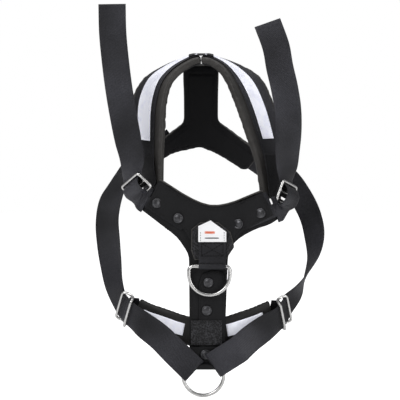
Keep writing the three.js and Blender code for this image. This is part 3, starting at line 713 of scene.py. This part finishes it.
def d_ring(node):
    """A welded D-ring: a straight bar with rounded corners, and a half circle below it."""
    low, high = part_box(node)
    corner = 6 * MM
    half = (high.x - low.x - RING_WIRE) / 2
    x, y = (low.x + high.x) / 2, (low.y + high.y) / 2
    top, round_z = high.z - RING_WIRE / 2, low.z + RING_WIRE / 2 + half
    path = np.vstack([
        arc((x + half - corner, y, top - corner), corner, 90, 0),
        arc((x, y, round_z), half, 0, -180, 60),
        arc((x - half + corner, y, top - corner), corner, 180, 90),
    ])
    path = evenly(path, 1.5 * MM, closed=True)
    mesh = tube_mesh(path, RING_WIRE / 2, closed=True, sides=20, normal=(0, 1, 0))
    return piece(node + "_wire", mesh, "nickel", node=node)


def glide_frame(node, joint):
    """A tri-glide's middle, its three directions (along its bars, down and out), half sizes and bow."""
    points = corners_of(node)
    centre = (points.min(0) + points.max(0)) / 2
    u = np.array(JOINT[joint]["axis"], float)
    u /= np.linalg.norm(u)
    centre += u * (((points - centre) @ u).max() + ((points - centre) @ u).min()) / 2
    flat = (points - centre) - np.outer((points - centre) @ u, u)
    centre += flat.mean(0)
    v = np.linalg.svd(flat - flat.mean(0))[2][0]
    if v[2] > 0:
        v = -v
    w = np.cross(u, v)
    along, down, out = (points - centre) @ u, (points - centre) @ v, (points - centre) @ w
    centre += v * (down.max() + down.min()) / 2
    down = (points - centre) @ v
    bow = np.polyfit(down, out, 2)
    half_u = (along.max() - along.min()) / 2 - GLIDE_WIRE / 2
    half_v = (down.max() - down.min()) / 2 - GLIDE_WIRE / 2
    return centre, u, v, w, half_u, half_v, bow


def glide(node, joint):
    """A wire tri-glide: an outer frame with rounded corners and a middle bar, bowed as the CAD one is."""
    centre, u, v, w, half_u, half_v, bow = glide_frame(node, joint)
    corner = 3.5 * MM
    flat_path = np.vstack([
        arc((sx * (half_u - corner), 0, sz * (half_v - corner)), corner, start, start + 90)
        for sx, sz, start in ((1, 1, 0), (-1, 1, 90), (-1, -1, 180), (1, -1, 270))
    ])
    flat_path = evenly(flat_path, 1.2 * MM, closed=True)

    def on_glide(x, z):
        return centre + np.outer(x, u) + np.outer(z, v) + np.outer(np.polyval(bow, z), w)

    outer = tube_mesh(on_glide(flat_path[:, 0], flat_path[:, 2]), GLIDE_WIRE / 2, closed=True, normal=w)
    ends = np.linspace(-half_u, half_u, 12)
    middle = tube_mesh(on_glide(ends, np.zeros(12)), MIDDLE_BAR / 2, normal=w)
    return piece(node + "_wire", merge([outer, middle]), "nickel", node=node)


def rivet(node):
    """A flat-capped rivet: a dished cap with a rolled rim, a shank, and a washer on the lining side. Its
    profile is in millimetres, as radius and depth."""
    spots = sorted((Vector(corner) for corner in corners_of(node)), key=lambda spot: spot.y)
    front, axis = spots[0], spots[-1] - spots[0]
    cap, shank, washer = 7.0, 2.5, 6.0
    end = axis.length / MM
    profile = [
        (0, 0.35), (4.4, 0.3), (4.8, 0.7), (5.2, 0.7), (5.6, 0.1), (6.5, 0.2),
        (cap, 0.7), (cap, 1.9), (6.3, 2.2), (shank, 2.2),
        (shank, end - 1.8), (washer, end - 1.8), (washer, end - 1.1), (4.4, end - 0.3), (0, end),
    ]
    turned = axis.normalized().to_track_quat("Z", "Y").to_matrix()
    rings = []
    for radius, depth in profile:
        angles = [2 * math.pi * k / 40 for k in range(40)]
        ring = [Vector((radius * math.cos(a), radius * math.sin(a), depth)) * MM for a in angles]
        rings.append([front + turned @ spot for spot in ring])
    mesh = section_mesh(rings, capped=False)
    bmesh.ops.remove_doubles(mesh, verts=mesh.verts, dist=0.01 * MM)
    return piece(node + "_turned", mesh, "gunmetal", node=node)


# --- Chest --------------------------------------------------------------------

FRONT = (0, -1, 0)


def neckline(loop):
    """The stretch of the chest plate's outline over the chest, between its two arms' ends."""
    loop = evenly(loop, 2 * MM, closed=True)
    height = loop[:, 2] * 1.2
    left, right = int(np.argmax(height - loop[:, 0])), int(np.argmax(height + loop[:, 0]))
    one = np.roll(loop, -left, 0)[:(right - left) % len(loop) + 1]
    other = np.roll(loop, -right, 0)[:(left - right) % len(loop) + 1]
    row = max((one, other), key=lambda row: row[:, 2].mean())
    return evenly(row[np.argsort(row[:, 0])], 3 * MM)


def sewn_layer(node, stitching, distance, finish=None, edge=0.45 * MM):
    """A flat layer with stitches all round its front, a given distance from its outline."""
    made = layer(node, finish, edge)
    outline = face_outline(node, Vector(FRONT))
    stitches(stitching, [inset(outline, distance, FRONT)], shape_of(made))
    return outline


def make_chest():
    padded("chest_padding", ["chest_plate_foam", "chest_plate_lining"], "padding", 2.0 * MM,
           ["chest_plate_cover"])
    outline = sewn_layer("chest_plate_cover", "chest_cover_stitching", 3.5 * MM, edge=0.8 * MM)
    binding = tube_mesh(neckline(outline) + np.array((0, 1.6 * MM, 0.2 * MM)), 1.7 * MM, normal=FRONT)
    piece("neckline_binding", binding, "binding", "chest")
    sewn_layer("chest_yoke_overlay", "yoke_stitching", 3 * MM, edge=0.6 * MM)
    sewn_layer("chest_stem_strap", "stem_stitching", 2.4 * MM, "plate_cover", edge=0.6 * MM)
    for node in frame["nodes"]:
        if node.startswith("rivet_"):
            rivet(node)


def across_node(node, height, margin=2 * MM):
    """A level row of two points across a node's front."""
    low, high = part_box(node)
    return np.array([(low.x + margin, low.y, height), (high.x - margin, low.y, height)])


def make_patch_panel():
    panel = layer("patch_panel", edge=0.7 * MM)
    low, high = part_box("patch_panel")
    rows = [across_node("patch_panel", height) for height in (low.z + 2 * MM, high.z - 2 * MM)]
    stitches("panel_stitching", rows, shape_of(panel))


def make_ring_tab():
    """The tab that holds the chest ring, on its piped backing: sewn with a crossed box, and once under it."""
    layer("ring_tab_backing", edge=0.5 * MM)
    outline = inset(face_outline("ring_tab_backing", Vector(FRONT)), 0.3 * MM, FRONT)
    cord = tube_mesh(outline, 0.55 * MM, closed=True, sides=8, normal=FRONT)
    piece("backing_piping", cord, "binding", "chest")
    tab = layer("ring_tab")
    lay_uv(tab, (0, 0, 1), (1, 0, 0))
    ring_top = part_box("chest_d_ring")[1].z
    lower = across_node("ring_tab", ring_top + 12 * MM, margin=4 * MM)
    upper = across_node("ring_tab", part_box("label")[0].z - 2 * MM, margin=4 * MM)
    corners = [lower[0], lower[1], upper[1], upper[0]]
    sides_and_diagonals = ((0, 1), (1, 2), (2, 3), (3, 0), (0, 2), (1, 3))
    crossed = [np.array([corners[a], corners[b]]) for a, b in sides_and_diagonals]
    crossed.append(across_node("ring_tab", ring_top + 4 * MM))
    stitches("tab_stitching", crossed, shape_of(tab), radius=0.55 * MM)


def make_fittings():
    make_patch_panel()
    make_ring_tab()
    sewn_layer("lower_ring_tab", "lower_tab_stitching", 2.4 * MM, "plate_cover")
    d_ring("chest_d_ring")
    d_ring("lower_d_ring")


# The bars on the label: name, finish, height, the share of the label's width where it ends, rows of thread.
BARS = (
    ("label_coral_bar", "coral_thread", 12 * MM, 0.60, 4),
    ("label_grey_bar", "grey_thread", 5 * MM, 0.75, 2),
)
BARS_START = 0.22


def make_label():
    """A plain white label: stitched down both sides, with an unbroken coral bar and a grey one woven in."""
    label = layer("label", edge=0.25 * MM)
    low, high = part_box("label")
    surface = shape_of(label)
    width = high.x - low.x
    sides = [low.x + 3 * MM, high.x - 3 * MM]
    rows = [np.array([(x, low.y, low.z + 1 * MM), (x, low.y, low.z + 15 * MM)]) for x in sides]
    stitches("label_stitching", rows, surface, "grey_thread")
    for name, finish, height, end, count in BARS:
        ends = (low.x + width * BARS_START, low.x + width * end)
        levels = [low.z + height + k * 0.8 * MM for k in range(count)]
        lines = [np.array([(x, low.y, level) for x in ends]) for level in levels]
        stitches(name, lines, surface, finish, length=width * (end - BARS_START), gap=0.0, radius=0.42 * MM)


# --- Girth --------------------------------------------------------------------

def make_girth():
    tapes = ["girth_reflective_left", "girth_reflective_right"]
    sewn_on = ["girth_webbing", *tapes]
    band = padded("girth_padding", ["girth_pad"], "padding", 1.2 * MM, sewn_on, voxel=2.2 * MM)
    draw_out(band, 4 * MM, 14 * MM)
    strap("girth_webbing")
    for node in tapes:
        strap(node, thickness=0.7 * MM)
    for side in SIDES:
        strap("girth_loop_" + side)
        glide("side_slider_" + side, "slider_rock_" + side)


# --- Pull straps --------------------------------------------------------------

# Where each pull strap folds round the lower D-ring, from the middle of the ring's bar.
FOLD_AT = {"left": (-16 * MM, -2 * MM), "right": (17.6 * MM, 4.5 * MM)}
FOLD_RADIUS = RING_WIRE / 2 + WEBBING_THICKNESS * 1.5 + 0.5 * MM
FOLD_BACK = 7 * MM


def round_the_ring(first, second, side):
    """Carries a pull strap on round the lower D-ring's bar, and a little way back behind itself."""
    aside, lift = FOLD_AT[side]
    fold = np.array(JOINT["lower_ring_flip"]["pos_m"]) + np.array((aside, 0, lift))
    middle = (first[-1] + second[-1]) / 2
    across = (second[-1] - first[-1]) * np.array((1, 0, 1))
    size = np.linalg.norm(second[-1] - first[-1])
    across *= size / np.linalg.norm(across)
    deep = np.array((0.0, 1.0, 0.0))
    ahead = np.cross(across, deep) / size
    if ahead @ (fold - middle) < 0:
        ahead = -ahead
    angles = np.radians([-90, -45, 0, 45, 90])
    turn = [fold + FOLD_RADIUS * (math.cos(a) * ahead + math.sin(a) * deep) for a in angles]
    turn.append(turn[-1] - ahead * FOLD_BACK)
    turn = np.array(turn)
    return np.vstack([first, turn - across / 2]), np.vstack([second, turn + across / 2]), fold, ahead


def make_pull_strap(side):
    node = "pull_strap_" + side
    first, second = strap_rows(node, near=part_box("back_webbing")[1])
    first, second, fold, ahead = round_the_ring(first, second, side)
    first, second = smoothed(first), smoothed(second)
    middle = (first + second) / 2
    slider = np.array(JOINT["slider_rock_" + side]["pos_m"])
    split = int(np.argmin(np.linalg.norm(middle - slider, axis=1)))
    upper = strap_mesh(first[:split + 1], second[:split + 1])
    piece(node + "_upper_woven", upper, "webbing", node=node)
    # Below the slider the same strap takes the lighter copy of the webbing: painted light.
    lower = strap_mesh(first[split:], second[split:])
    lower = piece(node + "_lower_woven", lower, "lit_webbing")
    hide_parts(node)
    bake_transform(lower)


# --- Shoulders ----------------------------------------------------------------

PAD_DRAWN_OUT = {"left": 3 * MM, "right": 13 * MM}
BAND_TRIM = (0.1, 0.96)
TAPE_SHARE = {"left": 0.92, "right": 0.78}     # of the reflective strip's width that shows


def close_apex(pad):
    """Stretches the upper end of a shoulder's padding until it meets the other shoulder's."""
    meeting = (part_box("shoulder_pad_left")[1].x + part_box("shoulder_pad_right")[0].x) / 2
    points = points_of(pad)
    gaps = meeting - points[:, 0]
    nearest = gaps[np.abs(gaps).argmin()]
    reach = 14 * MM
    points[:, 0] += nearest * np.clip((reach - np.abs(gaps)) / (reach - abs(nearest)), 0, 1)
    place_points(pad, points)


def strap_lines(node, shares):
    """Smooth rows along a strap, each at a share of its width from the front edge."""
    first, second = front_first(*strap_rows(node))
    return [smoothed(first + (second - first) * share) for share in shares]


def make_shoulder(side):
    webbing_node, tape_node = "shoulder_webbing_" + side, "shoulder_reflective_" + side
    pad = padded("shoulder_padding_" + side, ["shoulder_pad_" + side, "shoulder_lining_" + side], "rim",
                 1.6 * MM, [webbing_node])
    close_apex(pad)
    draw_out(pad, PAD_DRAWN_OUT[side], 45 * MM)
    band = strap(webbing_node, trim=BAND_TRIM)
    tape_piece = strap(tape_node, trim=(0.0, TAPE_SHARE[side]), thickness=0.6 * MM)
    rim, near, far = strap_lines(webbing_node, (0.05, 0.15, 0.92))
    sew_channel(pad, [rim])
    stitches("shoulder_stitching_" + side, [near, far], shape_of(band), "grey_thread")
    edges = strap_lines(tape_node, (0.06, TAPE_SHARE[side] - 0.06))
    stitches("tape_stitching_" + side, edges, shape_of(tape_piece), "grey_thread", length=1.8 * MM,
             radius=0.2 * MM)


def make_apex_cover():
    """A short strap that is sewn across the seam where the two shoulders meet."""
    nodes = [kind + side for kind in ("shoulder_webbing_", "shoulder_reflective_") for side in SIDES]
    surface = surface_of(*nodes)
    boxes = [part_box("shoulder_webbing_" + side) for side in SIDES]
    meeting = (boxes[0][1].x + boxes[1][0].x) / 2
    top = max(box[1].z for box in boxes)
    back = min(box[1].y for box in boxes)
    half_length, gap, width = 18 * MM, 11 * MM, 39 * MM
    far_edge = back - 4 * MM
    offsets = np.linspace(-half_length, half_length, 13)
    rows = []
    for depth in (far_edge - width, far_edge):
        heights = {}
        for offset in offsets[np.abs(offsets) > gap]:
            start = Vector((meeting + offset, depth, top + 0.1))
            hit = surface.ray_cast(start, Vector((0, 0, -1)))[0]
            if hit is not None:
                heights[offset] = hit.z
        level = np.interp(offsets, list(heights), list(heights.values())) + 1.5 * MM
        rows.append(np.stack([meeting + offsets, np.full(len(offsets), depth), level], 1))
    cover = strap_mesh(smoothed(rows[0]), smoothed(rows[1]))
    cover = piece("apex_cover", cover, "black_webbing", "chest")
    sewn = [rows[0][[k, k]] + [(0, 2 * MM, 0), (0, width - 2 * MM, 0)] for k in (1, -2)]
    stitches("apex_stitching", sewn, shape_of(cover), "grey_thread")


ANCHOR_WIDENED = 13 * MM
FOLDED_WITHIN, WIDE_FROM = 9 * MM, 23 * MM      # distances from the adjuster's lower bar


def make_anchor(side):
    """The strap from the pad's lower end round the adjuster's lower bar. It is as wide as the other straps on
    the pad, and folded narrower where it goes round the bar."""
    node = "shoulder_anchor_" + side
    adjuster = np.array(JOINT["adjuster_tilt_" + side]["pos_m"])
    first, second = strap_rows(node)
    chest = middle_of("chest_plate_cover")
    if np.linalg.norm(first[0] - chest) > np.linalg.norm(second[0] - chest):
        first, second = second, first
    if np.linalg.norm(first[0] - adjuster) < np.linalg.norm(first[-1] - adjuster):
        first, second = first[::-1], second[::-1]
    reach = np.linalg.norm((first + second) / 2 - adjuster, axis=1)
    wide = np.clip((reach - FOLDED_WITHIN) / (WIDE_FROM - FOLDED_WITHIN), 0, 1)
    before_bar = np.arange(len(reach)) < int(np.argmin(reach))
    across = first - second
    across /= np.linalg.norm(across, axis=1)[:, None]
    first = first + across * (ANCHOR_WIDENED * wide * before_bar)[:, None]
    made = strap_mesh(smoothed(first), smoothed(second))
    made = piece(node + "_woven", made, "black_webbing")
    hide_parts(node)
    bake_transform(made)


ARM_STRAP_WIDTH = 37 * MM


def make_arm_strap(side):
    """The webbing from under the yoke: up in front of the adjuster's lower bars, and under its top one."""
    node = "arm_strap_" + side
    top = JOINT["tail_swing_" + side]["pos_m"]
    first, second = strap_rows(node, near=top)
    middle, across = (first + second) / 2, second - first
    across *= (ARM_STRAP_WIDTH / np.linalg.norm(across, axis=1))[:, None]
    first, second = smoothed(middle - across / 2), smoothed(middle + across / 2)
    # The free stretch takes the lighter copy of the webbing and the sewn stretch the plain one: painted light.
    free = piece(node + "_free_woven", strap_mesh(first, second), "lit_webbing")
    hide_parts(node)
    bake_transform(free)
    sewn = layer(node, "webbing")
    lay_uv(sewn, (1, 0, 0), (0, 0, 1))


RETURN_DEPTH = 5.5 * MM      # of the strap's second layer behind the adjuster
RETURN_MARGIN = 2.5 * MM     # inside the adjuster's two sides


def make_return(side):
    """The strap's second layer, which fills the adjuster from behind, between its top and lower bars."""
    centre, u, v, w, half_u, half_v, _ = glide_frame("shoulder_adjuster_" + side, "adjuster_tilt_" + side)
    behind = w if w @ (middle_of("shoulder_pad_" + side) - centre) > 0 else -w
    down = np.linspace(-half_v + 1 * MM, half_v - 6 * MM, 7)
    middle = centre + np.outer(down, v) + behind * RETURN_DEPTH
    across = u * (half_u - RETURN_MARGIN)
    mesh = strap_mesh(middle - across, middle + across)
    piece("strap_return_" + side, mesh, "black_webbing", "adjuster_" + side)


# --- Back piece ---------------------------------------------------------------

def make_back():
    mesh = cad_mesh("back_webbing")
    mesh.normal_update()
    outward = max(mesh.faces, key=lambda face: face.calc_area() * face.normal.y).normal.copy()
    inward = -outward
    pad = padded("back_padding", ["back_pad_foam", "back_pad_lining", "back_pad_cover"], "rim", 1.6 * MM,
                 ["back_webbing"])
    draw_out(pad, 6 * MM, 30 * MM, end=1)
    channel = inset(face_outline("back_pad_lining", inward), 8.5 * MM, inward)
    sew_channel(pad, [np.vstack([channel, channel[:1]])])
    stitches("back_lining_stitching", [channel], shape_of(pad))
    cover_edge = inset(face_outline("back_pad_cover", outward), 5 * MM, outward)
    sew_channel(pad, [np.vstack([cover_edge, cover_edge[:1]])])
    band = layer("back_webbing", "webbing")
    lay_uv(band, outward.cross(Vector((1, 0, 0))), (1, 0, 0))


# --- Assembly -----------------------------------------------------------------

make_chest()
make_fittings()
make_label()
make_girth()
for side in SIDES:
    make_pull_strap(side)
    make_shoulder(side)
    make_anchor(side)
    make_arm_strap(side)
    # The tails take the lighter copy of the webbing: painted light.
    strap("strap_tail_" + side, "lit_webbing", steps=4)
    glide("shoulder_adjuster_" + side, "adjuster_tilt_" + side)
    make_return(side)
make_apex_cover()
make_back()


# --- Studio -------------------------------------------------------------------

CAMERA_DISTANCE = 1.5       # in front of the chest plate
CAMERA_ASIDE = 13.1 * MM
CAMERA_HEIGHT = 274.4 * MM
PICTURE_HEIGHT = 0.56       # at the camera's distance
SENSOR = 36


def area_light(name, place, target, size, power):
    data = bpy.data.lights.new(name, "AREA")
    data.shape = "RECTANGLE"
    data.size, data.size_y = size
    data.energy = power
    made = new_object(name, data)
    made.location = place
    made.rotation_euler = (target - Vector(place)).to_track_quat("-Z", "Y").to_euler()


def make_floor():
    """A pale floor just under the harness. It glows for the camera, to be as white as the backdrop."""
    mesh = bmesh.new()
    bmesh.ops.create_grid(mesh, x_segments=8, y_segments=8, size=20)
    data = bpy.data.meshes.new("floor")
    mesh.to_mesh(data)
    floor = new_object("floor", data)
    floor.location.z = cad_box[0].z - 1 * MM
    pale, tree, shader = principled("pale_floor", (0.92, 0.92, 0.92), 0.9)
    shader.inputs["Emission Color"].default_value = (1, 1, 1, 1)
    seen = add(tree, "ShaderNodeLightPath", {}).outputs["Is Camera Ray"]
    tree.links.new(plus(tree, 0.15, times(tree, seen, 0.7)), shader.inputs["Emission Strength"])
    data.materials.append(pale)


def make_world():
    """A white backdrop for the camera, and a grey sky that is lighter above for everything else."""
    world = bpy.data.worlds.new("studio")
    bpy.context.scene.world = world
    world.use_nodes = True
    tree = world.node_tree
    back = tree.nodes["Background"]
    seen = add(tree, "ShaderNodeLightPath", {}).outputs["Is Camera Ray"]
    place = add(tree, "ShaderNodeTexCoord", {}).outputs["Generated"]
    height = add(tree, "ShaderNodeSeparateXYZ", {0: place}).outputs[2]
    grey = between(tree, spread(tree, height, -0.2, 0.9), (0.10, 0.10, 0.105), (0.42, 0.42, 0.43))
    color = add(tree, "ShaderNodeMix", {0: seen, 6: grey, 7: (1, 1, 1, 1)}, data_type="RGBA")
    tree.links.new(color.outputs[2], back.inputs["Color"])
    back.inputs["Strength"].default_value = 1.0


def make_camera(chest_front):
    """A level camera in front of the harness, a little to the left of the chest ring."""
    camera = new_object("camera", bpy.data.cameras.new("camera"))
    camera.location = (
        middle_of("chest_d_ring")[0] - CAMERA_ASIDE,
        chest_front - CAMERA_DISTANCE,
        cad_box[0].z + CAMERA_HEIGHT,
    )
    camera.rotation_euler = (math.pi / 2, 0, 0)
    camera.data.sensor_width = SENSOR
    camera.data.lens = SENSOR * CAMERA_DISTANCE / PICTURE_HEIGHT
    bpy.context.scene.camera = camera
    bpy.context.scene.view_settings.view_transform = "Standard"


middle = sum(cad_box, Vector()) / 2
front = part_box("chest_plate_cover")[0].y
make_floor()
make_world()
area_light("key", (middle.x - 0.9, front - 1.2, 1.3), middle, (0.9, 0.9), 17)
area_light("fill", (middle.x + 1.2, front - 0.9, 0.5), middle, (0.6, 1.2), 9)
area_light("top", (middle.x, middle.y + 0.1, 1.7), middle, (1.2, 0.8), 10)
make_camera(front)
